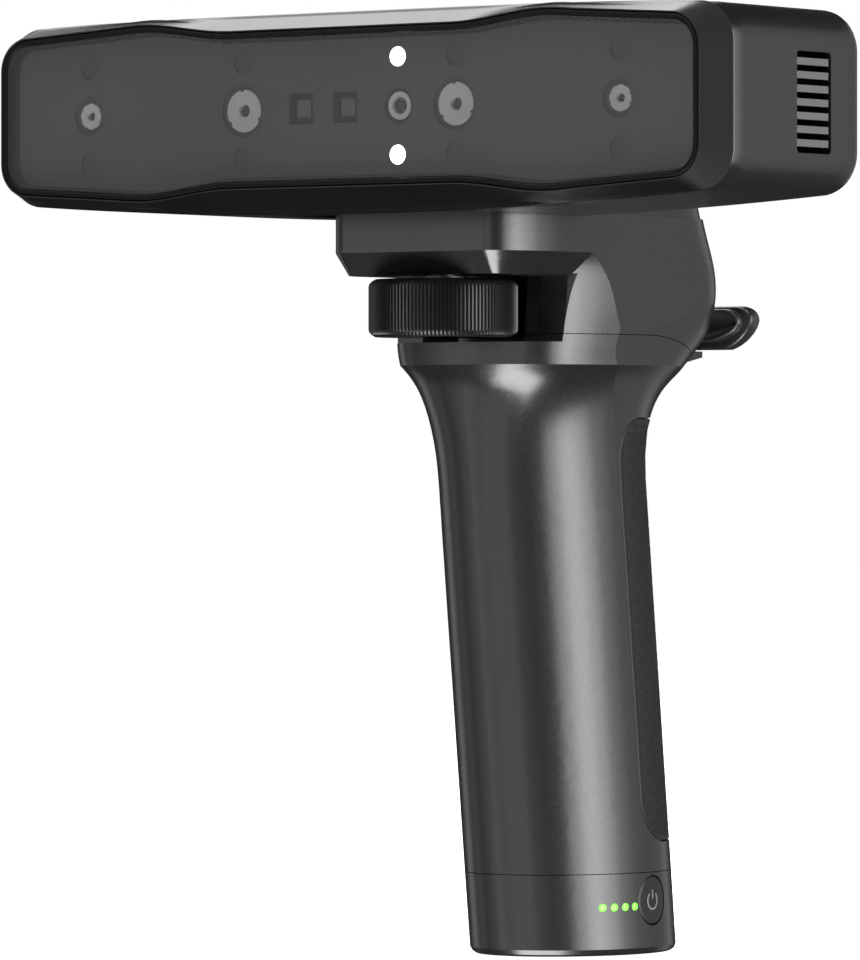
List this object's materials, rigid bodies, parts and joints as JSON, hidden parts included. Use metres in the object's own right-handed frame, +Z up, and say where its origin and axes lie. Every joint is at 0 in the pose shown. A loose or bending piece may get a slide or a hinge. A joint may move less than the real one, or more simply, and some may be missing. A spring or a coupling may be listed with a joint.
{
  "type": "handheld scanner",
  "caption": "Long structured-light sensor head on a leaning battery handle, held by a knurled clamp wheel, with a swinging rear lever.",
  "frame": {"origin": "centre of the handle's foot, on the bottom plane", "axes": "+X along the sensor head, sensors look towards -Y, +Z up"},
  "size_m": [0.1752, 0.1095, 0.1844],
  "materials": {
    "satin_shell": "satin black moulded plastic",
    "gloss_bezel": "gloss black",
    "tinted_glass": "dark tinted, smooth",
    "black_rubber": "matt, fine texture",
    "optics_black": "matt black",
    "lens_glass": "coated glass",
    "white_lamp": "lit white",
    "infrared_window": "dark red-black",
    "green_lamp": "lit green",
    "circuit_board": "solder mask",
    "aluminium": "extruded",
    "brass": "turned",
    "steel": "satin",
    "cell_sleeve": "shrink sleeve"
  },
  "bodies": {
    "scanner": {"base_cap": "satin_shell", "battery_cell_front": "cell_sleeve", "battery_cell_rear": "cell_sleeve", "battery_holder_lower": "optics_black", "battery_holder_upper": "optics_black", "battery_leds": "green_lamp", "camera_barrel_colour": "optics_black", "camera_barrel_far_left": "optics_black", "camera_barrel_far_right": "optics_black", "camera_barrel_near_left": "optics_black", "camera_barrel_near_right": "optics_black", "camera_lens_colour": "lens_glass", "camera_lens_far_left": "lens_glass", "camera_lens_far_right": "lens_glass", "camera_lens_near_left": "lens_glass", "camera_lens_near_right": "lens_glass", "charge_board": "circuit_board", "charge_socket": "steel", "deck_pad": "black_rubber", "foot_screws": "steel", "front_window": "tinted_glass", "grip_pad": "black_rubber", "grip_shell": "satin_shell", "head_bezel": "gloss_bezel", "head_housing": "satin_shell", "head_screws": "steel", "heat_sink": "aluminium", "infrared_leds": "infrared_window", "lever_pin": "steel", "main_board": "circuit_board", "neck_cover": "satin_shell", "neck_shell": "satin_shell", "optics_frame": "optics_black", "pattern_projector_left": "optics_black", "pattern_projector_right": "optics_black", "power_switch": "optics_black", "scan_switch": "optics_black", "sensor_board": "circuit_board", "tripod_insert": "brass", "usb_socket": "steel", "vent_grille_left": "satin_shell", "vent_grille_right": "satin_shell", "white_led_lower": "white_lamp", "white_led_upper": "white_lamp", "window_gasket": "black_rubber", "wireless_board": "circuit_board"},
    "wheel": {"clamp_wheel": "optics_black", "clamp_screw": "steel", "retaining_clip": "steel"},
    "power_key": {"power_button": "optics_black"},
    "scan_key": {"scan_button": "optics_black"},
    "lever": {"cam_lever": "satin_shell", "lever_pad": "gloss_bezel"}
  },
  "joints": [
    {"name": "clamp_wheel_turn", "type": "hinge", "parent": "scanner", "child": "wheel", "pos_m": [0, -0.0425, 0.1277], "axis": [0, 0, 1], "continuous": true},
    {"name": "power_button_press", "type": "slide", "parent": "scanner", "child": "power_key", "axis": [-1, 0, 0], "range_m": [0, 0.0005], "stiffness_N_per_m": 900},
    {"name": "scan_button_press", "type": "slide", "parent": "scanner", "child": "scan_key", "axis": [0, -1, 0], "range_m": [0, 0.0005], "stiffness_N_per_m": 900},
    {"name": "lever_swing", "type": "hinge", "parent": "scanner", "child": "lever", "pos_m": [-0.01, 0.0296, 0.1245], "axis": [0, 0, 1], "range_deg": [0, 95]}
  ]
}
